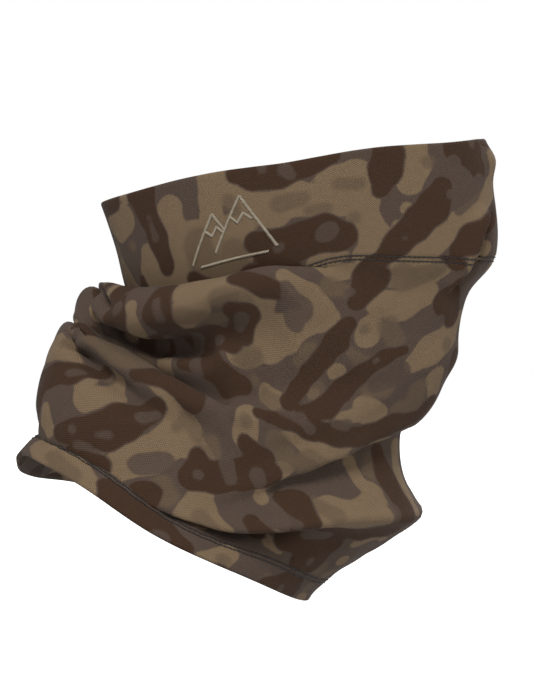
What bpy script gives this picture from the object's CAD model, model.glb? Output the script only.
"""Neck gaiter: a sewn tube of printed knit fleece, in its worn shape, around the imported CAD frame.

Lengths are in metres. On the cloth, u runs round the tube from the nose over the wearer's right
side to the nape and back, and v runs down from the folded top edge to the folded bottom edge.
"""
import math
import random

import bpy
import numpy as np
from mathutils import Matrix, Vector


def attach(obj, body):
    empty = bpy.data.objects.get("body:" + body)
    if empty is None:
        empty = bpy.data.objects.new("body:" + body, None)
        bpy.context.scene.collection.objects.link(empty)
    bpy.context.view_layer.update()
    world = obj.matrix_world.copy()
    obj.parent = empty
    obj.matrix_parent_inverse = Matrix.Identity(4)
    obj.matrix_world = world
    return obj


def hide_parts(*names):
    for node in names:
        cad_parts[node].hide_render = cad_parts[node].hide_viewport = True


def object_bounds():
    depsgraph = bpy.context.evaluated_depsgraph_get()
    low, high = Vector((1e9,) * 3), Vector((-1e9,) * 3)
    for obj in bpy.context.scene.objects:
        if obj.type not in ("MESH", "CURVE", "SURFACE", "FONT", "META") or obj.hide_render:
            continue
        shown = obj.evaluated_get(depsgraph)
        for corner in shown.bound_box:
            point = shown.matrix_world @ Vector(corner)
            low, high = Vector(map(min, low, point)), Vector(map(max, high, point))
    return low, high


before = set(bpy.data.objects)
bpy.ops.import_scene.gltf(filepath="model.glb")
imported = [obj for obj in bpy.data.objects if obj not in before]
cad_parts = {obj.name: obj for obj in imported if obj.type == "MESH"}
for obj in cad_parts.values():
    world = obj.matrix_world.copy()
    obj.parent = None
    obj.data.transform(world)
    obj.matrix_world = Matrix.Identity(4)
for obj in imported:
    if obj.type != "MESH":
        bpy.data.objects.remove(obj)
cad_box = [list(corner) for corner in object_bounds()]

MM = 0.001

# ---------------------------------------------------------------- the cloth's sizes
GIRTH = 0.520  # round the flat tube
LENGTH = 0.290  # from fold to fold
CLOTH_T = 0.0012  # one layer of the knit
LAYER_GAP = 0.0003  # air between a hem's two layers
TOP_HEM = 0.0625  # from the top fold to the first needle row
BOTTOM_HEM = 0.013  # from the bottom fold to the first needle row
NEEDLE_GAP = 0.0024
HEM_ALLOWANCE = 0.003  # cloth of a facing past the second needle row
TURN_R = (CLOTH_T + LAYER_GAP) / 2  # radius of a fold's middle line
EDGE = TURN_R + CLOTH_T / 2  # how far a fold stands past the last row of the skin
NAPE = GIRTH / 2

# ---------------------------------------------------------------- the worn shape
# Centre of the neck at each of the 21 outline points, going down: the head leans forward.
CENTRE_X = [20, 22, 22, 18, 14, 10, 6, 4, 2, -1, -4, -7, -10, -13, -18, -25, -29, -33, -37, -42, -48]

# Outlines of the cloth at angles round the neck, from the nose (0) to the nape (180), in mm.
# Each is a list of (distance from the centre, height), from the folded top edge to the folded
# bottom edge: 0-2 upper band, 3-5 roll under the ears, 6-8 recess and its ledge, 9-11 diagonal
# ridge, 12-14 lower body, 15-16 fold under the chin, 17-18 fold over the hem, 19 stitch line, 20 edge.
OUTLINES = {
    0: [(96, 236), (99, 207), (101, 178), (95, 164), (93, 156), (94, 147), (97, 140), (98, 132),
         (100, 125), (100, 118), (99, 112), (99, 105), (98, 98), (96, 92), (95, 87), (98, 87),
         (103, 63), (117, 45), (104, 32), (77, 10), (75, 0)],
    14: [(96, 235), (99, 206), (100, 176), (95, 165), (95, 157), (97, 149), (99, 142), (100, 134),
         (102, 127), (103, 120), (102, 113), (102, 106), (101, 99), (99, 93), (97, 87), (99, 87),
         (102, 64), (117, 43), (103, 33), (76, 11), (73, 1)],
    30: [(87, 232), (88, 205), (87, 175), (85, 165), (85, 157), (87, 149), (88, 141), (88, 132),
         (88, 124), (89, 117), (89, 111), (89, 105), (88, 98), (88, 90), (88, 79), (80, 78), (88, 62),
         (101, 41), (88, 39), (73, 14), (72, 5)],
    50: [(75, 230), (75, 205), (74, 175), (73, 167), (73, 159), (75, 150), (75, 141), (75, 131),
         (75, 121), (73, 113), (73, 105), (76, 97), (77, 89), (76, 81), (78, 68), (71, 70), (77, 56),
         (86, 36), (69, 42), (72, 22), (75, 13)],
    72: [(68, 226), (68, 201), (65, 175), (64, 171), (65, 169), (68, 155), (66, 140), (65, 130),
         (63, 118), (63, 109), (66, 100), (69, 92), (68, 84), (66, 76), (68, 61), (67, 55), (68, 47),
         (74, 36), (61, 42), (70, 34), (77, 25)],
    95: [(66, 221), (67, 196), (62, 167), (57, 157), (66, 172), (74, 159), (61, 138), (60, 126),
         (57, 108), (58, 101), (64, 97), (62, 88), (62, 80), (63, 70), (65, 61), (66, 54), (68, 49),
         (70, 44), (60, 50), (68, 48), (76, 40)],
    118: [(70, 218), (70, 191), (64, 161), (57, 147), (70, 167), (82, 149), (57, 136), (64, 127),
         (57, 106), (63, 108), (71, 104), (65, 94), (67, 87), (68, 78), (69, 70), (70, 64), (71, 59),
         (72, 56), (65, 62), (69, 68), (76, 60)],
    140: [(79, 213), (78, 185), (71, 156), (61, 141), (79, 164), (90, 140), (59, 132), (66, 125),
         (59, 112), (71, 122), (79, 116), (69, 104), (77, 103), (81, 92), (81, 83), (80, 76),
         (79, 71), (77, 67), (71, 74), (75, 81), (80, 73)],
    158: [(90, 207), (85, 181), (78, 154), (65, 138), (87, 165), (96, 143), (71, 134), (80, 129),
         (79, 127), (89, 138), (92, 134), (79, 120), (89, 124), (94, 110), (94, 97), (89, 87),
         (86, 80), (78, 77), (73, 83), (75, 83), (75, 76)],
    170: [(97, 204), (91, 178), (85, 152), (70, 136), (91, 166), (92, 152), (74, 147), (86, 157),
         (89, 148), (91, 147), (90, 142), (82, 137), (89, 139), (95, 117), (94, 102), (85, 91),
         (80, 85), (69, 84), (68, 88), (71, 84), (75, 74)],
    180: [(99, 203), (92, 177), (86, 151), (73, 135), (91, 163), (87, 159), (78, 153), (87, 161),
         (93, 153), (91, 145), (89, 142), (84, 139), (88, 143), (95, 118), (94, 102), (85, 92),
         (79, 86), (67, 85), (67, 88), (70, 83), (74, 70)],
}

# The wearer's left side differs: its folds sag a little more, and its hem hangs lower at the back.
FOLD_SAG = 5
SAG_ROW = 8
SAG_SPREAD = 3.5
HEM_DROP = 13
FIRST_DROP_ROW = 16
DROP_ANGLE = 150
DROP_SPREAD = 25


def left_drop(angle, row):
    """How much lower a point on the wearer's left lies than its mirror image on the right."""
    sag = FOLD_SAG * math.sin(math.radians(angle)) * math.exp(-(((row - SAG_ROW) / SAG_SPREAD) ** 2))
    share = min(1, max(0, row - FIRST_DROP_ROW) / 3)
    return sag + HEM_DROP * share * math.exp(-(((angle - DROP_ANGLE) / DROP_SPREAD) ** 2))


def outline_grid():
    """Every outline point round the neck, in metres: the right side is listed, the left mirrors it."""
    angles = list(OUTLINES)
    round_the_neck = [(a, -1) for a in angles] + [(a, 1) for a in angles[-2:0:-1]]
    grid = []
    for angle, side in round_the_neck:
        turn = math.radians(angle)
        column = []
        for row, (radius, height) in enumerate(OUTLINES[angle]):
            drop = left_drop(angle, row) if side == 1 else 0
            x = CENTRE_X[row] + radius * math.cos(turn)
            column.append((x, side * radius * math.sin(turn), height - drop))
        grid.append(column)
    return np.array(grid) * MM


def spline_weights(f):
    """Uniform cubic B-spline weights of the four control points round a fraction f."""
    return np.stack([(1 - f) ** 3, 3 * f**3 - 6 * f**2 + 4, 3 * f * (1 + f - f**2) + 1, f**3]) / 6


def bend(before, here, after):
    """How sharply a line of three points turns at the middle one."""
    return before - 2 * here + after


class Skin:
    """A smooth closed tube that passes close by a grid of points: the first axis runs round it."""

    def __init__(self, grid):
        grid = grid - bend(np.roll(grid, 1, 0), grid, np.roll(grid, -1, 0)) / 6
        inner = grid.copy()
        inner[:, 1:-1] -= bend(grid[:, :-2], grid[:, 1:-1], grid[:, 2:]) / 6
        first = 2 * inner[:, :1] - inner[:, 1:2]
        last = 2 * inner[:, -1:] - inner[:, -2:-1]
        self.control = np.concatenate([first, inner, last], 1)
        self.around, self.rows = grid.shape[:2]

    def at(self, s, r):
        """Points at grid places s round the tube and r down it, arrays of one shape."""
        s, r = np.broadcast_arrays(np.asarray(s, float), np.asarray(r, float))
        column = np.floor(s).astype(int)
        row = np.clip(np.floor(r).astype(int), 0, self.rows - 2)
        across, down = spline_weights(s - column), spline_weights(r - row)
        total = 0
        for k in range(4):
            for m in range(4):
                weight = (across[k] * down[m])[..., None]
                total = total + weight * self.control[(column + k - 1) % self.around, row + m]
        return total


def by_distance(skin, columns, rows, fine=400):
    """Samples the skin evenly by distance on the cloth: columns round it, rows down each wale."""
    dense = skin.at(np.linspace(0, skin.around, 720, endpoint=False)[:, None],
                    np.linspace(0, skin.rows - 1, 60)[None, :])
    step = np.linalg.norm(np.roll(dense, -1, 0) - dense, axis=2).mean(1)
    walked = np.concatenate([[0], np.cumsum(step)]) / step.sum()
    places = np.interp(np.arange(columns) / columns, walked, np.linspace(0, skin.around, 721))
    down = np.linspace(0, skin.rows - 1, fine)
    wales = skin.at(places[:, None], down[None, :])
    grid = np.empty((columns, rows, 3))
    for i, wale in enumerate(wales):
        walked = np.concatenate([[0], np.cumsum(np.linalg.norm(np.diff(wale, axis=0), axis=1))])
        wanted = np.interp(np.linspace(0, walked[-1], rows), walked, down)
        grid[i] = skin.at(places[i], wanted)
    return grid


# ---------------------------------------------------------------- meshes
def new_object(name, points, faces, smooth=True):
    mesh = bpy.data.meshes.new(name)
    mesh.from_pydata(np.asarray(points).reshape(-1, 3).tolist(), [], faces)
    mesh.update()
    mesh.polygons.foreach_set("use_smooth", [smooth] * len(mesh.polygons))
    piece = bpy.data.objects.new(name, mesh)
    bpy.context.collection.objects.link(piece)
    return piece


def grid_faces(columns, rows, closed=True, start=0):
    """Quads of a grid of points numbered column by column."""
    faces = []
    for i in range(columns if closed else columns - 1):
        here, there = start + i * rows, start + (i + 1) % columns * rows
        for j in range(rows - 1):
            faces.append((here + j, here + j + 1, there + j + 1, there + j))
    return faces


# ---------------------------------------------------------------- simulation
SIM_COLUMNS = 130
SIM_ROWS = 73
SIM_FRAMES = 18
MOST_SETTLED = 0.003
SMOOTH_STEPS = 6


def flat_tube(columns, rows):
    """The tube as it was sewn, before it was worn: a plain cylinder of the flat size."""
    turn = np.arange(columns) / columns * 2 * math.pi
    radius = GIRTH / 2 / math.pi
    height = LENGTH * (1 - np.arange(rows) / (rows - 1))
    tube = np.empty((columns, rows, 3))
    tube[..., 0] = (radius * np.cos(turn))[:, None]
    tube[..., 1] = (-radius * np.sin(turn))[:, None]
    tube[..., 2] = height[None, :]
    return tube


def even_out(moved):
    """Caps how far the cloth settled, and smooths it over the neighbouring points."""
    far = np.linalg.norm(moved, axis=2, keepdims=True)
    moved = moved * np.minimum(1, MOST_SETTLED / np.maximum(far, 1e-9))
    for _ in range(SMOOTH_STEPS):
        moved = (np.roll(moved, 1, 0) + 2 * moved + np.roll(moved, -1, 0)) / 4
        moved[:, 1:-1] = (moved[:, :-2] + 2 * moved[:, 1:-1] + moved[:, 2:]) / 4
    return moved


def relax(grid):
    """Cloth simulation: soft pins keep the worn shape while the knit settles to its flat size."""
    columns, rows = grid.shape[:2]
    cloth = new_object("settling_cloth", grid, grid_faces(columns, rows))
    cloth.shape_key_add(name="worn")
    flat = cloth.shape_key_add(name="flat")
    flat.data.foreach_set("co", flat_tube(columns, rows).ravel())
    hold = cloth.vertex_groups.new(name="hold")
    for j in range(rows):
        near_edge = min(j, rows - 1 - j) / rows
        weight = 0.5 if near_edge > 0.06 else 0.8
        hold.add([i * rows + j for i in range(columns)], weight, "REPLACE")
    modifier = cloth.modifiers.new("cloth", "CLOTH")
    settings = modifier.settings
    settings.quality = 6
    settings.mass = 0.15
    settings.tension_stiffness = 12
    settings.compression_stiffness = 12
    settings.shear_stiffness = 4
    settings.bending_stiffness = 0.6
    settings.tension_damping = 10
    settings.compression_damping = 10
    settings.bending_damping = 1
    settings.air_damping = 4
    settings.vertex_group_mass = "hold"
    settings.pin_stiffness = 1.5
    settings.rest_shape_key = flat
    settings.effector_weights.gravity = 0.25
    modifier.point_cache.frame_start = 1
    modifier.point_cache.frame_end = SIM_FRAMES
    scene = bpy.context.scene
    for number in range(1, SIM_FRAMES + 1):
        scene.frame_set(number)
        settled = cloth.evaluated_get(bpy.context.evaluated_depsgraph_get())
    places = np.empty(columns * rows * 3)
    settled.data.vertices.foreach_get("co", places)
    scene.frame_set(1)
    mesh = cloth.data
    bpy.data.objects.remove(cloth)
    bpy.data.meshes.remove(mesh)
    return grid + even_out(places.reshape(grid.shape) - grid)


class Cloth:
    """The settled cloth as a smooth skin, read in metres of fabric."""

    def __init__(self, grid):
        self.skin = Skin(grid)

    def point(self, u, v):
        skin = self.skin
        return skin.at(np.asarray(u) / GIRTH * skin.around, np.asarray(v) / LENGTH * (skin.rows - 1))

    def axes(self, u, v, step=0.0008):
        """Unit vectors round the tube, down it and out of it."""
        u, v = np.broadcast_arrays(np.asarray(u, float), np.asarray(v, float))
        low, high = np.maximum(v - step, 0), np.minimum(v + step, LENGTH)
        round_it = unit(self.point(u + step, v) - self.point(u - step, v))
        down = unit(self.point(u, high) - self.point(u, low))
        return round_it, down, unit(np.cross(round_it, down))

    def over(self, u, v, height):
        """Points at a height over the cloth's outer face; negative is inside."""
        return self.point(u, v) + np.asarray(height)[..., None] * self.axes(u, v)[2]


def unit(vectors):
    return vectors / np.linalg.norm(vectors, axis=-1, keepdims=True)


# Creases that are finer than the outlines: (path of (u, v), depth, width, lip), all in mm. The lip
# is a raised edge on the left of the path as it is walked, in shares of the depth. A negative depth
# raises the cloth instead: at the corner of the nose, and along the fold over the hem.
CREASES = [
    ([(-24, 12), (24, 12)], -3.8, 8, 0),
    ([(20, 38), (27, 50), (32, 64), (34, 86)], 6, 3.5, 0.8),
    ([(240, 138), (222, 148), (202, 152), (182, 152), (158, 154)], 7, 5, 0.25),
    ([(218, 163), (198, 172), (182, 178), (164, 180), (144, 180)], 4.5, 3, 0.5),
    ([(238, 186), (222, 198), (206, 203), (190, 203)], 2, 3.5, 0.3),
    ([(182, 192), (172, 198), (160, 203), (150, 206)], 1.5, 3, 0.6),
    ([(150, 186), (138, 190), (126, 194)], 1.2, 3.5, 0.5),
    ([(252, 121), (240, 121), (229, 122), (216, 124)], 8, 3.2, 0.4),
    ([(248, 170), (238, 176), (229, 183), (219, 184)], 6, 3, 0.6),
    ([(240, 200), (232, 203), (224, 200)], 4, 2.6, 0.7),
    ([(62, 178), (50, 182), (40, 184)], 2, 3, 0.5),
    ([(104, 206), (96, 214), (94, 226)], 2, 3.5, 0.5),
    ([(278, 126), (292, 138), (306, 148)], 3.5, 3, 0.5),
    ([(280, 176), (296, 184), (316, 188)], 3, 3, 0.4),
    ([(492, 44), (487, 60), (484, 80)], 3, 2.8, 0.7),
    ([(452, 180), (468, 184), (480, 186)], 2, 3, 0.5),
    ([(330, 196), (350, 202), (372, 204)], 1.8, 3.5, 0.4),
    ([(-70, 230), (-40, 220), (0, 213), (40, 221), (80, 236), (110, 244)], -1.5, 3, 0),
    ([(118, 260), (106, 263), (92, 262), (80, 259), (68, 251)], 4.5, 4, 0),
]
CREASE_FADE = 9  # how far from its ends a crease has its full depth
LIP_PLACE = 2.2  # how far off a lip stands, in widths of its crease
LIP_WIDTH = 1.6
CREASE_COLUMNS = 300
CREASE_ROWS = 168
SOFT_WAVES = 0.5  # how far the cloth undulates, in mm, below the smooth band
LEAST_WAVES = 0.25  # the share of the waves that the band has
BAND_END = 66
BELOW_BAND = 20  # how far the waves take to grow to their full height
CALM_HEM = 14  # the bottom edge has no waves
ABOVE_HEM = 10
TAUT_SHARE = 0.9  # how much of the waves is gone at the nose and the chin
TAUT_REACH = 35
TAUT_END = 200


def along_path(path, u, v):
    """Signed distance from a path on the cloth, and the distance to its nearer end, in mm."""
    lengths = [math.dist(a, b) for a, b in zip(path[:-1], path[1:])]
    whole = sum(lengths)
    nearest = np.full(u.shape, 1e6)
    signed = np.zeros(u.shape)
    to_end = np.zeros(u.shape)
    walked = 0
    for (ua, va), (ub, vb), length in zip(path[:-1], path[1:], lengths):
        du, dv = (ub - ua) / length, (vb - va) / length
        along = np.clip((u - ua) * du + (v - va) * dv, 0, length)
        off_u, off_v = u - ua - along * du, v - va - along * dv
        distance = np.hypot(off_u, off_v)
        closer = distance < nearest
        side = np.where(off_u * dv - off_v * du >= 0, 1, -1)
        nearest = np.where(closer, distance, nearest)
        signed = np.where(closer, side * distance, signed)
        to_end = np.where(closer, np.minimum(walked + along, whole - walked - along), to_end)
        walked += length
    return signed, to_end


def crease_height(u, v):
    """How far creases and soft waves move the cloth out, in mm, at places given in mm."""
    height = np.zeros(u.shape)
    for path, depth, width, lip in CREASES:
        middle = path[len(path) // 2][0]
        nearby = (u - middle + NAPE / MM) % (GIRTH / MM) + middle - NAPE / MM
        across, to_end = along_path(path, nearby, v)
        fade = np.clip(to_end / CREASE_FADE, 0, 1)
        fade = fade * fade * (3 - 2 * fade)
        valley = np.exp(-((across / width) ** 2))
        raised = np.exp(-(((across - LIP_PLACE * width) / (LIP_WIDTH * width)) ** 2))
        height += depth * fade * (lip * raised - valley)
    turn = 2 * math.pi * u / (GIRTH / MM)
    waves = np.sin(13 * turn + 0.05 * v) * np.sin(0.11 * v + 2 * turn)
    waves += 0.7 * np.sin(21 * turn - 0.07 * v + 1) * np.sin(0.17 * v - 3 * turn + 2)
    calm = np.clip((v - BAND_END) / BELOW_BAND, LEAST_WAVES, 1)
    calm = calm * np.clip((LENGTH / MM - CALM_HEM - v) / ABOVE_HEM, 0, 1)
    from_nose = np.minimum(u, GIRTH / MM - u)
    taut = 1 - TAUT_SHARE * np.exp(-((from_nose / TAUT_REACH) ** 2)) * (v < TAUT_END)
    return height + SOFT_WAVES * waves * calm * taut


def creased(cloth):
    """The cloth again, on a finer grid that holds the small creases."""
    u = np.arange(CREASE_COLUMNS)[:, None] / CREASE_COLUMNS * GIRTH + np.zeros(CREASE_ROWS)
    v = np.linspace(0, LENGTH, CREASE_ROWS)[None, :] + np.zeros((CREASE_COLUMNS, 1))
    return Cloth(cloth.over(u, v, crease_height(u / MM, v / MM) * MM))


def worn_cloth():
    """The cloth as it is worn, set in the middle of the CAD box and on its floor, with its creases."""
    grid = by_distance(Skin(outline_grid()), SIM_COLUMNS, SIM_ROWS)
    grid = relax(grid)
    low, high = grid.reshape(-1, 3).min(0), grid.reshape(-1, 3).max(0)
    box = np.array(cad_box)
    middle = (box[0] + box[1]) / 2
    shift = middle - (low + high) / 2
    shift[2] = box[0][2] - low[2]
    return creased(Cloth(grid + shift))


# ---------------------------------------------------------------- cloth pieces
STITCH_ROWS = {
    "top": (TOP_HEM, TOP_HEM + NEEDLE_GAP),
    "bottom": (LENGTH - BOTTOM_HEM - NEEDLE_GAP, LENGTH - BOTTOM_HEM),
}
GROOVE_DEPTH = 0.0004
GROOVE_WIDTH = 0.0009
PUCKER = 0.00022
PUCKER_LENGTH = 0.0085
PUCKER_REACH = 0.006  # how far puckers run above and below a hem's stitches
LONG_PUCKERS = 37  # longer puckers round the tube, at a share of the others' height
LONG_SHARE = 0.6
SEAM_DITCH = 0.0006
DITCH_WIDTH = 0.0009
SEAM_HALF = 0.0026
SEAM_RIDGE = 0.0009
# The closing seam shows inside, between the two facings.
SEAM_START = TOP_HEM + NEEDLE_GAP + 0.004
SEAM_END = LENGTH - BOTTOM_HEM - NEEDLE_GAP - 0.004
COLUMN_STEP = 0.0024
ROW_STEP = 0.0022
NEAR_SEAM = 0.004  # this near the closing seam the columns are finer
SEAM_STEP = 0.0005
NEAR_STITCHES = (-0.0014, -0.0006, 0, 0.0006, 0.0014)  # extra rows beside each row of stitches
LEAST_STEP = 0.0005


def surface_relief(u, v):
    """Height of the outer face over the smooth skin: stitch grooves, their puckers, the seam's ditch."""
    relief = np.zeros(np.broadcast(u, v).shape)
    for rows in STITCH_ROWS.values():
        for line in rows:
            relief -= GROOVE_DEPTH * np.exp(-(((v - line) / GROOVE_WIDTH) ** 2))
        middle = sum(rows) / 2
        waves = np.sin(2 * math.pi * u / (GIRTH / round(GIRTH / PUCKER_LENGTH)))
        waves = waves + LONG_SHARE * np.sin(2 * math.pi * u * LONG_PUCKERS / GIRTH + 1)
        relief += PUCKER * waves * np.exp(-(((v - middle) / PUCKER_REACH) ** 2))
    relief -= SEAM_DITCH * np.exp(-(((u - NAPE) / DITCH_WIDTH) ** 2))
    return relief


def fine_columns():
    """Places round the tube, closer together at the closing seam."""
    even = np.arange(0, GIRTH, COLUMN_STEP)
    near_seam = NAPE + np.arange(-NEAR_SEAM, NEAR_SEAM + SEAM_STEP / 2, SEAM_STEP)
    kept = even[np.abs(even - NAPE) > NEAR_SEAM + SEAM_STEP]
    return np.sort(np.concatenate([kept, near_seam]))


def fine_rows(first, last):
    """Places down the tube, closer together at the stitches."""
    even = np.linspace(first, last, max(2, round((last - first) / ROW_STEP) + 1))
    rows = list(even)
    for lines in STITCH_ROWS.values():
        rows += [line + step for line in lines for step in NEAR_STITCHES]
    rows = np.array(sorted(r for r in rows if first <= r <= last))
    kept = [rows[0]]
    for row in rows[1:-1]:
        if row - kept[-1] > LEAST_STEP and last - row > LEAST_STEP:
            kept.append(row)
    return np.array(kept + [last])


def turned_edge(cloth, columns, v, down_sign, angles):
    """Middle line of the fold at an edge: points and outward directions, one ring per angle."""
    points, out = [], []
    _, down, normal = cloth.axes(columns, v)
    centre = cloth.point(columns, v) - normal * (CLOTH_T / 2 + TURN_R)
    for angle in angles:
        direction = normal * math.cos(angle) + down_sign * down * math.sin(angle)
        points.append(centre + TURN_R * direction)
        out.append(direction)
    return points, out


def layered_piece(name, columns, rings, materials):
    """A closed layer of cloth from rings (middle point, outward direction, half thickness out and in, v)."""
    outer = [p + d * out for p, d, out, inn, v in rings]
    inner = [p - d * inn for p, d, out, inn, v in rings]
    loops = outer + inner[::-1]
    count, size = len(columns), len(loops)
    points = np.stack(loops, 1)
    faces = []
    for i in range(count):
        here, there = i * size, (i + 1) % count * size
        for j in range(size):
            k = (j + 1) % size
            faces.append((here + j, here + k, there + k, there + j))
    piece = new_object(name, points, faces)
    mesh = piece.data
    layer = mesh.uv_layers.new(name="cloth")
    v_values = [ring[4] for ring in rings]
    v_loop = np.array(v_values + v_values[::-1])
    u_next = np.append(columns, columns[0] + GIRTH)
    uv = []
    for i in range(count):
        for j in range(size):
            k = (j + 1) % size
            for column, row in ((i, j), (i, k), (i + 1, k), (i + 1, j)):
                uv.append((u_next[column], v_loop[row]))
    layer.data.foreach_set("uv", np.array(uv).ravel())
    u_point, v_point = np.meshgrid(columns, v_loop, indexing="ij")
    paint_print(piece, u_point, v_point)
    for material in materials:
        mesh.materials.append(material)
    index = np.zeros((count, size), int)
    index[:, len(rings) - 1:] = 1
    mesh.polygons.foreach_set("material_index", index.ravel())
    return piece


def gaiter_tube(cloth, materials):
    """The outer layer, with the whole of the fold at each edge."""
    columns = fine_columns()
    rows = fine_rows(EDGE, LENGTH - EDGE)
    half = np.full(columns.shape, CLOTH_T / 2)[:, None]
    turn = np.linspace(math.pi, 0, 7)[:-1]
    rings = []
    points, out = turned_edge(cloth, columns, EDGE, -1, turn)
    for angle, p, d in zip(turn, points, out):
        rings.append((p, d, half, half, EDGE - TURN_R * angle))
    ridge = SEAM_RIDGE * np.exp(-(((columns - NAPE) / SEAM_HALF) ** 4))
    for v in rows:
        normal = cloth.axes(columns, v)[2]
        middle = cloth.point(columns, v) - normal * CLOTH_T / 2
        relief = surface_relief(columns, v)[:, None]
        inside = half + (ridge[:, None] if SEAM_START < v < SEAM_END else 0)
        rings.append((middle, normal, half + relief, inside, v))
    points, out = turned_edge(cloth, columns, LENGTH - EDGE, 1, turn[::-1])
    for angle, p, d in zip(turn[::-1], points, out):
        rings.append((p, d, half, half, LENGTH - EDGE + TURN_R * angle))
    return layered_piece("gaiter_tube", columns, rings, materials)


def facing(cloth, name, first, last, from_top, materials):
    """A hem's turned-in layer, just inside the tube. Its print runs on over the fold."""
    columns = fine_columns()
    rows = fine_rows(first, last)
    half = np.full(columns.shape, CLOTH_T / 2)[:, None]
    rings = []
    for v in rows:
        normal = cloth.axes(columns, v)[2]
        middle = cloth.point(columns, v) - normal * (CLOTH_T * 1.5 + LAYER_GAP)
        turned = -v if from_top else 2 * LENGTH - v
        rings.append((middle, normal, half, half, turned))
    return layered_piece(name, columns, rings, materials)


# ---------------------------------------------------------------- thread pieces
class Threads:
    """Collects tubes of thread into one mesh."""

    def __init__(self, sides=6):
        self.points, self.faces, self.sides = [], [], sides

    def tube(self, path, radii, normals, closed=False):
        path = np.asarray(path)
        radii = np.broadcast_to(radii, len(path))
        along = np.roll(path, -1, 0) - np.roll(path, 1, 0)
        if not closed:
            along[0], along[-1] = path[1] - path[0], path[-1] - path[-2]
        along = unit(along)
        side = unit(np.cross(along, normals))
        up = np.cross(side, along)
        start, n = len(self.points), self.sides
        for centre, r, a, b in zip(path, radii, side, up):
            for k in range(n):
                turn = 2 * math.pi * k / n
                self.points.append(centre + r * (math.cos(turn) * a + math.sin(turn) * b))
        rings = len(path)
        for i in range(rings if closed else rings - 1):
            here, there = start + i * n, start + (i + 1) % rings * n
            for k in range(n):
                m = (k + 1) % n
                self.faces.append((here + k, here + m, there + m, there + k))
        if not closed:
            self.faces.append(tuple(start + k for k in reversed(range(n))))
            self.faces.append(tuple(start + (rings - 1) * n + k for k in range(n)))

    def lay(self, cloth, u, v, heights, radii, closed=False):
        """A thread along u, v on the cloth, at heights over its outer face."""
        self.tube(cloth.over(u, v, heights), radii, cloth.axes(u, v)[2], closed)

    def piece(self, name, material):
        piece = new_object(name, self.points, self.faces)
        piece.data.materials.append(material)
        return piece


STITCH_LENGTH = 0.0026
STITCH_GAP = 0.00015
STITCH_R = 0.0004
STITCH_RISE = 0.00025
STITCH_DIVE = 0.0003  # how much lower a stitch's ends lie than its middle
LOOPER_R = 0.00028
LOOPER_STEPS = 260
ZIGZAG_R = 0.00024
ZIGZAG_DROP = 0.0003  # how far the zigzag lies over the rails
OVERLOCK_STEP = 0.0016
OVERLOCK_INSET = 0.0005  # how far inside the ends of the seam's ridge the threads stop
OVERLOCK_HALF = 0.0021
OVERLOCK_R = 0.00026
OVERLOCK_RAIL = 0.0022
OVERLOCK_RAIL_R = 0.0003


def needle_stitches(cloth, name, line, material):
    """One row of needle thread: short arched stitches whose ends dive into the cloth."""
    threads = Threads()
    count = round(GIRTH / STITCH_LENGTH)
    reach = (GIRTH / count - STITCH_GAP) / 2
    share = np.linspace(-1, 1, 7)
    heights = STITCH_RISE - STITCH_DIVE * share**4
    radii = STITCH_R * np.sqrt(np.maximum(1 - share**8, 0.3))
    for k in range(count):
        u = (k + 0.5) * GIRTH / count + reach * share
        v = np.full(7, line)
        threads.lay(cloth, u, v, heights + surface_relief(u, v), radii)
    return threads.piece(name, material)


def looper_threads(cloth, name, rows, material):
    """The thread under a twin-needle hem: two rails and the zigzag between them, inside."""
    threads = Threads(5)
    depth = -(2 * CLOTH_T + LAYER_GAP + 0.0003)
    low, high = rows
    u = np.arange(LOOPER_STEPS) / LOOPER_STEPS * GIRTH
    for line in rows:
        threads.lay(cloth, u, np.full(LOOPER_STEPS, line), depth, LOOPER_R, closed=True)
    zig = np.arange(2 * LOOPER_STEPS)
    u = zig / len(zig) * GIRTH
    v = np.where(zig % 2 == 0, low, high)
    threads.lay(cloth, u, v, depth - ZIGZAG_DROP, ZIGZAG_R, closed=True)
    return threads.piece(name, material)


def back_seam(cloth, name, material):
    """Overlock threads over the seam ridge at the centre back, inside the tube."""
    threads = Threads(5)
    first, last = SEAM_START + OVERLOCK_INSET, SEAM_END - OVERLOCK_INSET
    depth = -(CLOTH_T + SEAM_RIDGE + 0.0002)
    count = round((last - first) / OVERLOCK_STEP)
    zig = np.arange(count)
    v = np.linspace(first, last, count)
    u = NAPE + np.where(zig % 2 == 0, -1, 1) * OVERLOCK_HALF
    threads.lay(cloth, u, v, depth, OVERLOCK_R)
    for side in (-1, 1):
        u = np.full(count, NAPE + side * OVERLOCK_RAIL)
        heights = depth + 0.00025 + 0.0001 * np.cos(zig * math.pi)
        threads.lay(cloth, u, v, heights, OVERLOCK_RAIL_R)
    return threads.piece(name, material)


# Generic mountain motif: strokes of (across, up) in shares of the emblem's width.
EMBLEM_WIDTH = 0.046
EMBLEM_AT = (0.168, 0.0305)
STROKES = [
    [(0, 0.05), (0.3, 0.55), (0.42, 0.36)],
    [(0.3, 0.12), (0.62, 0.7), (1, 0.05)],
    [(0.2, 0.38), (0.28, 0.31), (0.34, 0.4), (0.4, 0.33)],
    [(0.5, 0.48), (0.58, 0.4), (0.65, 0.5), (0.74, 0.42)],
    [(0.1, 0), (0.9, 0)],
]
EMBLEM_LINE = 0.0013
EMBLEM_MIDDLE = 0.35  # height of the motif's middle, in shares of its width
SATIN_PITCH = 0.00042
SATIN_SLANT = 0.45
SATIN_R = 0.00024


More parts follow.
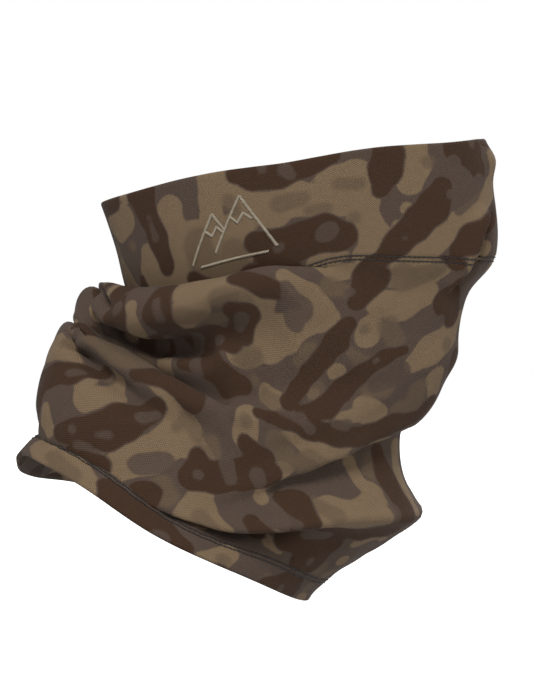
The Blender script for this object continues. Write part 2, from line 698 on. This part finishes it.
def emblem(cloth, name, material):
    """Satin-stitched strokes: short slanting threads laid side by side along each line."""
    threads = Threads(5)
    rng = random.Random(7)
    for stroke in STROKES:
        places = np.array(stroke) * EMBLEM_WIDTH
        for start, end in zip(places[:-1], places[1:]):
            length = np.linalg.norm(end - start)
            along = (end - start) / length
            across = np.array([-along[1], along[0]])
            count = max(2, round(length / SATIN_PITCH))
            for k in range(count + 1):
                centre = start + along * length * k / count
                slant = across + SATIN_SLANT * along
                half = EMBLEM_LINE / 2 * rng.uniform(0.9, 1.1)
                share = np.linspace(-1, 1, 5)
                spot = centre[None, :] + share[:, None] * half * slant[None, :]
                u = EMBLEM_AT[0] - (spot[:, 0] - EMBLEM_WIDTH / 2)
                v = EMBLEM_AT[1] - spot[:, 1] + EMBLEM_WIDTH * EMBLEM_MIDDLE
                heights = 0.00055 - 0.0006 * share**2
                threads.lay(cloth, u, v, heights, SATIN_R)
    return threads.piece(name, material)


LABEL_U = NAPE + 0.0019
LABEL_V = 0.205
LABEL_WIDTH = 0.024
LABEL_LENGTH = 0.030
LABEL_T = 0.0004
LABEL_LIFT = 0.0003


def care_label(cloth, name, material):
    """Blank tape inside the nape: one end is caught under the back seam, and it lies flat beside it."""
    us = LABEL_U + np.linspace(0, 1, 18) * LABEL_LENGTH
    vs = LABEL_V + np.linspace(0, 1, 14) * LABEL_WIDTH
    u, v = np.meshgrid(us, vs, indexing="ij")
    share = (u - LABEL_U) / LABEL_LENGTH
    seam = SEAM_RIDGE * np.exp(-(((u - NAPE) / SEAM_HALF) ** 4))
    depth = -CLOTH_T - seam - LABEL_LIFT - 0.0006 * share**2
    front = grid_faces(len(us), len(vs), closed=False)
    outer, inner = cloth.over(u, v, depth), cloth.over(u, v, depth - LABEL_T)
    count, rows = u.size, len(vs)
    back = [tuple(reversed([count + k for k in face])) for face in front]
    rim = [i * rows for i in range(len(us))]
    rim += [(len(us) - 1) * rows + j for j in range(1, rows)]
    rim += [i * rows + rows - 1 for i in range(len(us) - 2, -1, -1)]
    rim += list(range(rows - 2, 0, -1))
    side = [(a, b, count + b, count + a) for a, b in zip(rim, rim[1:] + rim[:1])]
    points = np.concatenate([outer.reshape(-1, 3), inner.reshape(-1, 3)])
    piece = new_object(name, points, front + back + side)
    piece.data.materials.append(material)
    return piece


# ---------------------------------------------------------------- the print
# Camouflage blobs on the wearer's right, in mm on the flat cloth. Each is a chain of (u, v, radius).
# The other side, and what is turned in at the hems, is scattered at random.
TAN = [
    [(234, 13, 9), (242, 14, 8), (241, 20, 5)], [(228, 1, 4)],
    [(221, 32, 5), (222, 42, 7), (222, 54, 7)],
    [(201, 14, 8), (202, 26, 9), (205, 38, 8), (207, 52, 12)],
    [(179, 2, 5), (178, 12, 5), (177, 26, 6)],
    [(170, 3, 7), (165, 12, 7), (152, 20, 9), (138, 20, 10), (126, 25, 9)],
    [(150, 28, 6), (144, 30, 6)], [(189, 32, 10), (184, 46, 12), (168, 54, 9), (166, 34, 11)],
    [(247, 34, 2), (245, 46, 5), (238, 54, 5)],
    [(118, 14, 7), (104, 14, 8), (102, 28, 10), (116, 30, 9)], [(101, 40, 9), (92, 54, 8), (99, 61, 6)],
    [(126, 61, 4), (112, 62, 5)], [(70, 2, 7), (70, 12, 7), (75, 20, 8)], [(77, 36, 4)], [(82, 44, 3)],
    [(16, 10, 4), (15, 20, 4), (20, 27, 5), (34, 36, 6), (52, 46, 7), (66, 57, 8), (76, 65, 8)],
    [(32, 46, 1.5), (36, 54, 2), (40, 63, 3)], [(26, 57, 4), (36, 65, 5)],
    [(84, 75, 5), (70, 72, 9), (56, 70, 8)], [(80, 91, 7), (66, 92, 9), (54, 85, 7)],
    [(118, 70, 6), (104, 75, 6), (96, 71, 6)], [(128, 94, 6), (116, 94, 7), (108, 101, 7)],
    [(140, 112, 9), (140, 124, 9), (134, 134, 7)],
    [(103, 105, 7), (116, 112, 7), (124, 124, 9), (134, 136, 10), (146, 149, 9)],
    [(80, 106, 7), (80, 111, 7)], [(50, 123, 6), (42, 116, 8), (28, 106, 7), (20, 97, 4)],
    [(32, 130, 6), (26, 139, 5)], [(91, 134, 5)], [(99, 150, 4)], [(70, 150, 6), (60, 156, 8)],
    [(70, 156, 5), (80, 160, 3), (88, 162, 3)], [(126, 162, 6), (116, 163, 7)],
    [(224, 107, 3), (222, 116, 3), (221, 122, 2)], [(240, 106, 3), (236, 114, 2)],
    [(203, 118, 4), (205, 128, 7), (208, 138, 8)], [(180, 108, 7), (168, 108, 10), (155, 106, 8)],
    [(172, 122, 10), (178, 131, 6)], [(196, 160, 5), (193, 171, 5)], [(236, 136, 3), (233, 142, 3)],
    [(231, 146, 3), (226, 150, 4)], [(240, 160, 4)], [(244, 176, 4), (240, 186, 5)],
    [(248, 198, 7), (238, 206, 7), (226, 211, 4)],
    [(206, 201, 3), (204, 209, 3), (200, 217, 6), (209, 227, 5)],
    [(214, 211, 2.5), (213, 219, 4), (209, 228, 5)], [(228, 241, 3), (225, 247, 4), (219, 251, 4)],
    [(182, 192, 5), (172, 196, 5), (165, 204, 5), (158, 207, 6)],
    [(170, 208, 5), (166, 218, 8), (172, 232, 10), (180, 244, 9), (184, 254, 7)],
    [(156, 214, 8), (148, 216, 7)], [(132, 181, 7), (130, 192, 8)],
    [(137, 236, 7), (132, 246, 11), (120, 252, 9)],
    [(106, 176, 5), (92, 180, 6), (78, 182, 7), (64, 180, 5), (52, 174, 5), (44, 170, 5)],
    [(103, 199, 5), (105, 208, 5)], [(110, 214, 4), (101, 223, 4)], [(50, 193, 4), (47, 206, 4)],
    [(76, 232, 7), (66, 226, 9), (54, 228, 10), (44, 218, 8), (42, 206, 5)],
    [(19, 178, 5), (19, 192, 4), (17, 212, 4)], [(94, 244, 4), (86, 246, 5)],
    [(82, 266, 3), (74, 268, 3)], [(34, 246, 3), (30, 238, 4)], [(22, 236, 3)], [(28, 258, 4)],
    [(31, 289, 4), (23, 290, 5)], [(212, 282, 5), (196, 284, 7), (180, 284, 8), (166, 289, 7)],
    [(103, 281, 6), (110, 292, 7)], [(146, 268, 4), (134, 266, 5), (120, 267, 5)],
]
BROWN = [
    [(250, 4, 5), (238, 2, 5)], [(217, 3, 9), (216, 14, 6), (212, 26, 6), (209, 41, 5)],
    [(231, 46, 2), (231, 56, 4)], [(193, 51, 4), (189, 58, 6), (176, 60, 4)],
    [(162, 2, 6), (154, 4, 8), (142, 5, 8), (128, 3, 7), (114, 1, 4)],
    [(156, 40, 6), (146, 46, 10), (134, 46, 11), (122, 45, 10), (112, 50, 9)],
    [(160, 58, 6), (140, 64, 8), (150, 72, 8)], [(86, 4, 9), (88, 14, 8), (91, 24, 5)],
    [(46, 4, 8), (34, 6, 9), (30, 15, 7)],
    [(57, 24, 6), (62, 34, 9), (72, 44, 8), (82, 55, 7), (89, 64, 5)],
    [(16, 38, 5), (28, 45, 6), (40, 52, 7), (48, 58, 4)], [(93, 68, 6), (88, 79, 8), (91, 93, 5)],
    [(38, 76, 6), (38, 88, 9), (30, 96, 7)], [(56, 62, 1), (46, 66, 3)],
    [(92, 106, 5), (96, 118, 6), (101, 128, 5), (105, 138, 5), (109, 150, 5), (112, 160, 5)],
    [(58, 117, 3), (68, 122, 4), (78, 133, 5), (84, 144, 6), (91, 156, 6), (102, 163, 5)],
    [(20, 118, 5), (17, 126, 4)], [(216, 107, 6), (214, 122, 7), (218, 137, 6)],
    [(232, 108, 3), (229, 120, 2)], [(188, 106, 5), (188, 120, 7), (186, 134, 7)],
    [(152, 104, 5), (140, 106, 5), (130, 102, 4)], [(152, 124, 5), (144, 124, 5), (148, 138, 8)],
    [(196, 141, 6), (180, 143, 7), (166, 143, 7), (152, 146, 6)], [(216, 150, 5), (202, 154, 5)],
    [(181, 158, 6), (166, 158, 8), (152, 168, 8), (142, 166, 5)],
    [(238, 176, 4), (226, 176, 5), (218, 172, 4)],
    [(192, 194, 4), (184, 188, 6), (172, 188, 5), (162, 192, 7)], [(246, 146, 7), (240, 154, 6)],
    [(234, 166, 3)], [(214, 203, 3), (216, 211, 3.5), (222, 220, 5), (232, 223, 7), (243, 225, 8)],
    [(240, 230, 7), (237, 242, 4)],
    [(212, 248, 5), (203, 241, 6), (194, 233, 8), (188, 222, 8), (182, 211, 6), (178, 203, 4)],
    [(198, 254, 7), (186, 250, 7)],
    [(128, 176, 3), (112, 171, 4), (96, 171, 5), (80, 169, 6), (62, 168, 6), (46, 160, 6),
     (34, 156, 5)],
    [(24, 146, 6), (28, 154, 5)], [(160, 250, 8), (154, 257, 5)],
    [(150, 218, 5), (147, 227, 8), (134, 221, 8), (122, 211, 9), (110, 206, 8)],
    [(128, 196, 5), (116, 198, 7)], [(92, 220, 4), (84, 222, 7), (80, 236, 8)],
    [(106, 238, 4), (96, 248, 5), (76, 244, 5), (54, 244, 4), (38, 238, 5), (29, 228, 6), (26, 212, 6),
     (30, 196, 6), (34, 182, 4)],
    [(97, 260, 5), (88, 262, 4)],
    [(72, 262, 6), (58, 258, 8), (48, 253, 7), (46, 266, 6), (60, 271, 5)],
    [(160, 282, 5), (152, 286, 9), (136, 286, 9), (124, 289, 6)],
    [(74, 290, 6), (60, 286, 8), (47, 284, 7)], [(246, 284, 6), (232, 288, 5)],
]
# Taupe spots inside the brown and tan blobs.
SPOTS = [
    [(215, 15, 1.5), (213, 26, 2.5)], [(150, 2, 3)], [(139, 4, 4), (136, 8, 3)], [(119, 45, 6)],
    [(32, 2, 3)], [(52, 28, 3)], [(57, 14, 4), (48, 12, 5)], [(30, 22, 4), (38, 28, 5), (47, 36, 4)],
    [(78, 52, 2)], [(96, 87, 3)], [(210, 111, 2)], [(211, 119, 3), (214, 124, 2)],
    [(189, 114, 2), (186, 124, 3)], [(147, 128, 4), (149, 137, 3)], [(206, 150, 5)],
    [(193, 148, 4), (192, 142, 3)], [(176, 145, 4), (182, 152, 3)], [(160, 146, 3)],
    [(174, 160, 4), (170, 166, 3)], [(126, 98, 5), (120, 104, 8), (120, 113, 6)],
    [(58, 130, 8), (66, 138, 5)], [(84, 164, 2), (76, 163, 4)], [(40, 100, 4)],
    [(116, 167, 2), (104, 167, 3), (96, 171, 3)], [(72, 124, 2)], [(222, 220, 1.5), (217, 215, 1.5)],
    [(208, 243, 2)], [(197, 237, 1.5), (192, 233, 2)], [(201, 247, 2.5), (196, 244, 2)],
    [(183, 215, 3.5), (178, 210, 3)], [(171, 236, 7), (164, 230, 6)], [(146, 226, 3)],
    [(134, 212, 5), (129, 218, 4)], [(116, 208, 5), (112, 212, 4)], [(34, 214, 3), (34, 220, 2)],
    [(93, 233, 5), (84, 236, 3)], [(100, 250, 3)], [(64, 254, 3), (54, 249, 3)], [(50, 267, 3)],
    [(132, 290, 4)], [(66, 177, 3), (60, 176, 3)], [(238, 286, 2)], [(144, 46, 3)], [(60, 288, 3)],
]
# Darker tan, over the tan blobs and by itself.
SHADES = [
    [(187, 34, 8), (184, 48, 9), (172, 56, 7)], [(168, 16, 4), (165, 22, 3)],
    [(168, 42, 7), (164, 54, 6)], [(246, 40, 4), (240, 52, 4)], [(232, 28, 3)],
    [(112, 18, 4), (102, 20, 4)], [(120, 32, 4), (128, 30, 3)], [(106, 40, 4)],
    [(142, 22, 5), (132, 22, 4)], [(70, 76, 8), (56, 70, 6)], [(106, 85, 6), (98, 86, 4)],
    [(64, 10, 4)], [(76, 70, 5)], [(130, 40, 2)], [(178, 124, 6), (168, 128, 5)],
    [(158, 116, 6), (148, 116, 6)], [(162, 131, 4), (156, 129, 4)], [(142, 120, 3)], [(138, 108, 2)],
    [(144, 152, 6), (136, 146, 4)], [(64, 112, 5), (70, 104, 6)], [(108, 126, 6), (112, 134, 4)],
    [(78, 126, 4), (88, 121, 3)], [(100, 144, 4), (97, 150, 6)], [(40, 138, 6), (36, 150, 6)],
    [(126, 164, 5), (116, 164, 6)], [(136, 160, 3)], [(210, 162, 5), (202, 167, 5)],
    [(228, 180, 5), (216, 182, 7), (204, 186, 8), (192, 186, 6)], [(244, 184, 4)], [(236, 198, 5)],
    [(226, 218, 5)], [(211, 208, 4)], [(206, 244, 5), (198, 240, 5)], [(162, 204, 5), (154, 208, 4)],
    [(166, 210, 3)], [(146, 206, 4), (142, 214, 5)], [(150, 246, 6), (158, 240, 5)], [(132, 184, 4)],
    [(112, 185, 7), (104, 193, 8)], [(90, 190, 8), (80, 194, 9), (68, 190, 7)],
    [(130, 246, 5), (122, 250, 4)], [(66, 228, 5), (74, 222, 4)], [(38, 188, 4), (40, 196, 4)],
    [(86, 256, 5)], [(38, 268, 5)], [(76, 286, 4)], [(192, 284, 4), (176, 288, 5)], [(104, 286, 4)],
    [(26, 270, 5)], [(30, 282, 4)], [(60, 140, 5), (70, 142, 4)], [(82, 108, 3)], [(46, 150, 5)],
    [(30, 112, 4)], [(150, 214, 4)], [(250, 30, 5), (252, 44, 4)],
]
PRINT_CELL = 23
PRINT_SEED = 19


def scattered_print():
    """The listed blobs and, where none are listed, random ones of the same sizes."""
    rng = random.Random(PRINT_SEED)
    layers = {"tan": list(TAN), "shade": list(SHADES), "brown": list(BROWN), "spot": list(SPOTS)}
    first_u, last_u, first_v, last_v = 12, NAPE / MM, -4, LENGTH / MM + 4
    for column in range(-11, 11):
        for row in range(-3, 13):
            u = (column + rng.uniform(0.1, 0.9)) * PRINT_CELL
            v = (row + rng.uniform(0.1, 0.9)) * PRINT_CELL
            layer = "tan" if (column + row) % 2 else "brown"
            chain = [(u, v, rng.uniform(5, 9))]
            heading = rng.choice((-1, 1)) * rng.uniform(0.2, 1.1)
            for _ in range(rng.choice((1, 2, 2, 3))):
                heading += rng.uniform(-0.6, 0.6)
                reach = rng.uniform(9, 15)
                u, v = u + reach * math.cos(heading), v + reach * math.sin(heading)
                chain.append((u, v, rng.uniform(4, 10)))
            u, v, radius = chain[rng.randrange(len(chain))]
            extra = [(u, v, radius * 0.45), (u + rng.uniform(-5, 5), v + rng.uniform(-5, 5), radius * 0.35)]
            if not any(first_u < a < last_u and first_v < b < last_v for a, b, _ in chain):
                layers[layer].append(chain)
                layers["spot" if layer == "brown" else "shade"].append(extra)
    return layers


def depth_in(chain, u, v):
    """How deep each point lies inside a chain of round blobs, in mm; negative is outside."""
    if len(chain) == 1:
        a, b, radius = chain[0]
        return radius - np.hypot(u - a, v - b)
    best = None
    for (ua, va, ra), (ub, vb, rb) in zip(chain[:-1], chain[1:]):
        along = (ub - ua, vb - va)
        share = ((u - ua) * along[0] + (v - va) * along[1]) / (along[0] ** 2 + along[1] ** 2)
        share = np.clip(share, 0, 1)
        share = share * share * (3 - 2 * share) * 0.5 + share * 0.5
        depth = ra + (rb - ra) * share - np.hypot(u - ua - along[0] * share, v - va - along[1] * share)
        best = depth if best is None else smooth_top(best, depth, 4)
    return best


def smooth_top(a, b, blend):
    """The larger of two depths, rounded where they are nearly equal."""
    near = np.maximum(blend - np.abs(a - b), 0) / blend
    return np.maximum(a, b) + near * near * blend / 4


def print_depths(u, v):
    """Depth of every point, given in metres of cloth, inside each layer of the print."""
    u = np.where(u > NAPE, u - GIRTH, u) / MM
    v = v / MM
    depths = {}
    for layer, chains in scattered_print().items():
        total = np.full(u.shape, -6.0)
        for chain in chains:
            far = max(radius for _, _, radius in chain) + 6
            us, vs = [c[0] for c in chain], [c[1] for c in chain]
            near = (u > min(us) - far) & (u < max(us) + far) & (v > min(vs) - far) & (v < max(vs) + far)
            total[near] = smooth_top(total[near], depth_in(chain, u[near], v[near]), 1.5)
        depths[layer] = total
    return depths


def paint_print(piece, u, v):
    """Stores the print's depths on a piece, whose points lie at u, v on the cloth."""
    for layer, depth in print_depths(u, v).items():
        attribute = piece.data.attributes.new("print_" + layer, "FLOAT", "POINT")
        attribute.data.foreach_set("value", depth.ravel().astype(np.float32))


# ---------------------------------------------------------------- materials
def srgb(red, green, blue):
    """Linear colour of a screen colour given as 0 to 255."""
    def linear(value):
        value /= 255
        return value / 12.92 if value <= 0.04045 else ((value + 0.055) / 1.055) ** 2.4
    return (linear(red), linear(green), linear(blue), 1)


DARK_BROWN = srgb(68, 49, 36)
TAUPE = srgb(86, 72, 63)
MID_TAN = srgb(103, 86, 68)
LIGHT_TAN = srgb(125, 105, 82)
BACK_PILE = srgb(84, 73, 64)


class Nodes:
    """Short calls for building a node tree."""

    def __init__(self, name):
        self.material = bpy.data.materials.new(name)
        self.material.use_nodes = True
        self.tree = self.material.node_tree
        self.shader = self.tree.nodes["Principled BSDF"]

    def add(self, kind, **settings):
        node = self.tree.nodes.new("ShaderNode" + kind)
        for key, value in settings.items():
            setattr(node, key, value)
        return node

    def link(self, source, target):
        self.tree.links.new(source, target)

    def fill(self, socket, value):
        """Links a socket to another one, or sets its value."""
        if isinstance(value, bpy.types.NodeSocket):
            self.link(value, socket)
        else:
            socket.default_value = value

    def put(self, node, **values):
        for key, value in values.items():
            self.fill(node.inputs[key], value)
        return node

    def math(self, operation, a, b=None, c=None, clamp=False):
        node = self.add("Math", operation=operation, use_clamp=clamp)
        for socket, value in zip(node.inputs, (a, b, c)):
            if value is not None:
                self.fill(socket, value)
        return node.outputs[0]

    def ramp(self, factor, *stops):
        node = self.add("ValToRGB")
        elements = node.color_ramp.elements
        while len(elements) < len(stops):
            elements.new(0.5)
        for element, (place, colour) in zip(elements, stops):
            element.position = place
            element.color = colour if len(colour) == 4 else (*colour, 1)
        self.link(factor, node.inputs["Fac"])
        return node.outputs["Color"]

    def mix(self, factor, a, b, blend="MIX"):
        node = self.add("Mix", data_type="RGBA", blend_type=blend)
        for socket, value in ((node.inputs["Factor"], factor), (node.inputs[6], a), (node.inputs[7], b)):
            self.fill(socket, value)
        return node.outputs[2]

    def noise(self, vector, scale, detail=2.0, roughness=0.5, distortion=0.0):
        node = self.add("TexNoise")
        self.put(node, Vector=vector, Scale=scale, Detail=detail, Roughness=roughness, Distortion=distortion)
        return node.outputs["Fac"]

    def bump(self, height, strength, distance):
        """Bends the shader's normal by a height."""
        node = self.put(self.add("Bump"), Height=height, Strength=strength, Distance=distance)
        self.link(node.outputs[0], self.shader.inputs["Normal"])


def cloth_vector(nodes):
    """The cloth's own coordinates in metres, from its UV map, together and apart."""
    uv = nodes.add("UVMap", uv_map="cloth")
    parts = nodes.add("SeparateXYZ")
    nodes.link(uv.outputs["UV"], parts.inputs[0])
    return uv.outputs["UV"], parts.outputs[0], parts.outputs[1]


def layer_mask(nodes, layer, wobble, grow=0.0, soft=1.0):
    """Where a layer of the print is: its stored depth, with an uneven edge."""
    stored = nodes.add("Attribute", attribute_name="print_" + layer).outputs["Fac"]
    uneven = nodes.math("ADD", stored, wobble)
    return nodes.math("MULTIPLY_ADD", uneven, 1 / soft, 0.5 + grow / soft, clamp=True)


def print_colour(n, vector):
    """The camouflage: tan, darker tan and brown blobs and taupe spots on taupe."""
    wobble = n.math("MULTIPLY_ADD", n.noise(vector, 70, detail=1), 3.0, -1.5)
    fine = n.math("MULTIPLY_ADD", n.noise(vector, 500, detail=1), 0.6, -0.3)
    wobble = n.math("ADD", wobble, fine)
    colour = n.mix(layer_mask(n, "tan", wobble), TAUPE, LIGHT_TAN)
    shade = n.math("MULTIPLY", layer_mask(n, "shade", wobble, soft=2.5), 0.75)
    colour = n.mix(shade, colour, MID_TAN)
    colour = n.mix(layer_mask(n, "brown", wobble, grow=0.8), colour, TAUPE)
    colour = n.mix(layer_mask(n, "brown", wobble), colour, DARK_BROWN)
    spot = n.math("MULTIPLY", layer_mask(n, "spot", wobble, soft=1.4), 0.85)
    return n.mix(spot, colour, TAUPE)


def camo_knit(name):
    """Printed knit fleece: camouflage in four colours over a fine brushed knit."""
    n = Nodes(name)
    vector, u, v = cloth_vector(n)
    return finish_knit(n, print_colour(n, vector), vector, u, v, 1.0)


WALE_PITCH = 0.0015  # round the tube, from one dome of the knit to the next in its row
COURSE_PITCH = 0.0013  # the same down the tube; the rows between stand half a pitch over


def knit_height(n, u, v):
    """The face of the knit: small domes in diagonal rows, as the loops of each wale stand."""
    across = n.math("MULTIPLY", u, math.pi / WALE_PITCH)
    down = n.math("MULTIPLY", v, math.pi / COURSE_PITCH)
    rising = n.math("ABSOLUTE", n.math("SINE", n.math("ADD", across, down)))
    falling = n.math("ABSOLUTE", n.math("SINE", n.math("SUBTRACT", across, down)))
    return n.math("POWER", n.math("MULTIPLY", rising, falling), 0.7)


def finish_knit(n, colour, vector, u, v, depth):
    """Adds the loops, the fuzz and the dull gloss of the knit to a colour."""
    loops = knit_height(n, u, v)
    fuzz = n.noise(vector, 2600, detail=3, roughness=0.6)
    slub = n.noise(vector, 300, detail=2)
    shade = n.math("MULTIPLY_ADD", loops, 0.40, 0.76)
    shade = n.math("MULTIPLY", shade, n.math("MULTIPLY_ADD", fuzz, 0.30, 0.85))
    shade = n.math("MULTIPLY", shade, n.math("MULTIPLY_ADD", slub, 0.16, 0.92))
    grey = n.add("CombineXYZ")
    for socket in grey.inputs:
        n.link(shade, socket)
    n.link(n.mix(1.0, colour, grey.outputs[0], "MULTIPLY"), n.shader.inputs["Base Color"])
    height = n.math("MULTIPLY_ADD", fuzz, 0.5, loops)
    n.bump(height, 0.7, 0.0003 * depth)
    rough = n.math("MULTIPLY_ADD", fuzz, 0.15, 0.82)
    n.link(rough, n.shader.inputs["Roughness"])
    n.shader.inputs["Sheen Weight"].default_value = 0.04
    n.shader.inputs["Sheen Roughness"].default_value = 0.5
    n.shader.inputs["Specular IOR Level"].default_value = 0.08
    return n.material


def brushed_back(name):
    """The knit's brushed reverse: taupe pile with the print faintly showing."""
    n = Nodes(name)
    vector, u, v = cloth_vector(n)
    faint = n.mix(0.7, print_colour(n, vector), BACK_PILE)
    return finish_knit(n, faint, vector, u, v, 1.6)


def thread_material(name, colour, dark, roughness, sheen):
    """Twisted thread: fine slanting ply lines and a little wear."""
    n = Nodes(name)
    place = n.add("NewGeometry").outputs["Position"]
    wave = n.add("TexWave", wave_type="BANDS", bands_direction="DIAGONAL")
    n.put(wave, Vector=place, Scale=900, Distortion=1.5, Detail=1)
    worn = n.noise(place, 400, detail=2)
    plies = n.mix(n.math("MULTIPLY", wave.outputs["Fac"], 0.8), dark, colour)
    shade = n.ramp(worn, (0.3, (0.85, 0.85, 0.85)), (0.75, (1.1, 1.1, 1.1)))
    n.link(n.mix(1.0, plies, shade, "MULTIPLY"), n.shader.inputs["Base Color"])
    n.bump(wave.outputs["Fac"], 0.4, 0.00005)
    n.link(n.math("MULTIPLY_ADD", worn, 0.2, roughness - 0.1), n.shader.inputs["Roughness"])
    n.shader.inputs["Sheen Weight"].default_value = sheen
    return n.material


def label_material(name):
    """Blank satin tape with a fine weave and selvedge."""
    n = Nodes(name)
    place = n.add("NewGeometry").outputs["Position"]
    weave = n.add("TexWave", wave_type="BANDS", bands_direction="Z")
    n.put(weave, Vector=place, Scale=700, Distortion=0.6, Detail=1)
    dirt = n.noise(place, 120, detail=3)
    colour = n.ramp(dirt, (0.3, srgb(205, 202, 194)), (0.7, srgb(226, 223, 216)))
    n.link(colour, n.shader.inputs["Base Color"])
    n.bump(weave.outputs["Fac"], 0.3, 0.00005)
    n.link(n.math("MULTIPLY_ADD", dirt, 0.2, 0.4), n.shader.inputs["Roughness"])
    return n.material


# ---------------------------------------------------------------- stage
def floor():
    """A pale floor that glows, so that no shadow shows on it. No diffuse light comes off it."""
    size = 6
    corners = [(-size, -size, 0), (size, -size, 0), (size, size, 0), (-size, size, 0)]
    piece = new_object("floor", corners, [(0, 1, 2, 3)], smooth=False)
    n = Nodes("pale_floor")
    n.shader.inputs["Base Color"].default_value = (0.35, 0.35, 0.35, 1)
    n.shader.inputs["Roughness"].default_value = 0.9
    n.shader.inputs["Emission Color"].default_value = (1, 1, 1, 1)
    n.shader.inputs["Emission Strength"].default_value = 1.0
    piece.data.materials.append(n.material)
    piece.location.z = cad_box[0][2] - 0.0005
    piece.visible_diffuse = False
    piece.visible_shadow = False


def sky(seen, light):
    """A white surround: its brightness in the picture, and how strongly it lights the object."""
    world = bpy.data.worlds.new("studio")
    bpy.context.scene.world = world
    world.use_nodes = True
    tree = world.node_tree
    background = tree.nodes["Background"]
    background.inputs["Color"].default_value = (1, 1, 1, 1)
    path = tree.nodes.new("ShaderNodeLightPath")
    strength = tree.nodes.new("ShaderNodeMapRange")
    strength.inputs["To Min"].default_value = light
    strength.inputs["To Max"].default_value = seen
    tree.links.new(path.outputs["Is Camera Ray"], strength.inputs["Value"])
    tree.links.new(strength.outputs["Result"], background.inputs["Strength"])


def sun(name, direction, softness, strength):
    light = bpy.data.lights.new(name, "SUN")
    light.angle = softness
    light.energy = strength
    lamp = bpy.data.objects.new(name, light)
    lamp.rotation_euler = Vector(direction).to_track_quat("-Z", "Y").to_euler()
    bpy.context.collection.objects.link(lamp)


def studio():
    """Plain soft light from all sides. The bounce comes up through the floor."""
    bpy.context.scene.view_settings.view_transform = "Standard"
    sky(1.0, 0.28)
    sun("key", (0.1, 1.0, -1.0), 0.4, 2.1)
    sun("right", (-1.0, 0.3, -0.2), 0.7, 0.8)
    sun("left", (1.0, 0.2, -0.3), 0.7, 0.5)
    sun("bounce", (0.0, 0.7, 0.8), 1.0, 0.5)
    sun("back", (-0.3, -1.0, -0.7), 0.8, 1.7)


VIEW_HEIGHT = 0.352  # how much of the world the picture is high, at the gaiter's middle
VIEW_DISTANCE = 2.5
VIEW_MIDDLE = (0.005, 0, 0.1307)
SENSOR = 36


def camera():
    """Straight at the wearer's right side, from some way off."""
    data = bpy.data.cameras.new("camera")
    data.sensor_width = SENSOR
    data.lens = SENSOR * VIEW_DISTANCE / VIEW_HEIGHT
    eye = bpy.data.objects.new("camera", data)
    eye.location = (VIEW_MIDDLE[0], VIEW_MIDDLE[1] - VIEW_DISTANCE, VIEW_MIDDLE[2])
    eye.rotation_euler = (math.radians(90), 0, 0)
    bpy.context.collection.objects.link(eye)
    bpy.context.scene.camera = eye


# ---------------------------------------------------------------- the gaiter
def gaiter():
    cloth = worn_cloth()
    camo, back = camo_knit("camo_knit"), brushed_back("brushed_back")
    dark = thread_material("dark_thread", srgb(34, 27, 22), srgb(17, 13, 11), 0.8, 0.0)
    beige = thread_material("beige_thread", srgb(182, 170, 148), srgb(132, 119, 99), 0.6, 0.1)
    tape = label_material("label_tape")

    tube = gaiter_tube(cloth, [camo, back])
    top = facing(cloth, "top_facing", EDGE, TOP_HEM + NEEDLE_GAP + HEM_ALLOWANCE, True, [back, camo])
    low = facing(cloth, "bottom_facing", LENGTH - BOTTOM_HEM - NEEDLE_GAP - HEM_ALLOWANCE,
                 LENGTH - EDGE, False, [back, camo])
    label = care_label(cloth, "blank_label", tape)
    pieces = [(tube, "fabric_tube", "camo_knit"), (top, "top_hem_facing", "camo_knit"),
              (low, "bottom_hem_facing", "camo_knit"), (label, "care_label", "label_tape")]
    for hem, rows in STITCH_ROWS.items():
        for place, line in zip(("upper", "lower"), rows):
            node = f"{hem}_needle_thread_{place}"
            stitches = needle_stitches(cloth, f"{hem}_stitches_{place}", line, dark)
            pieces.append((stitches, node, "dark_thread"))
        looper = looper_threads(cloth, f"{hem}_looper", rows, dark)
        pieces.append((looper, f"{hem}_looper_thread", "dark_thread"))
    pieces.append((back_seam(cloth, "back_seam", dark), "back_seam_thread", "dark_thread"))
    pieces.append((emblem(cloth, "emblem", beige), "emblem_embroidery", "beige_thread"))
    for piece, node, slot in pieces:
        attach(piece, "root")
        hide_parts(node)


camera()
studio()
floor()
gaiter()
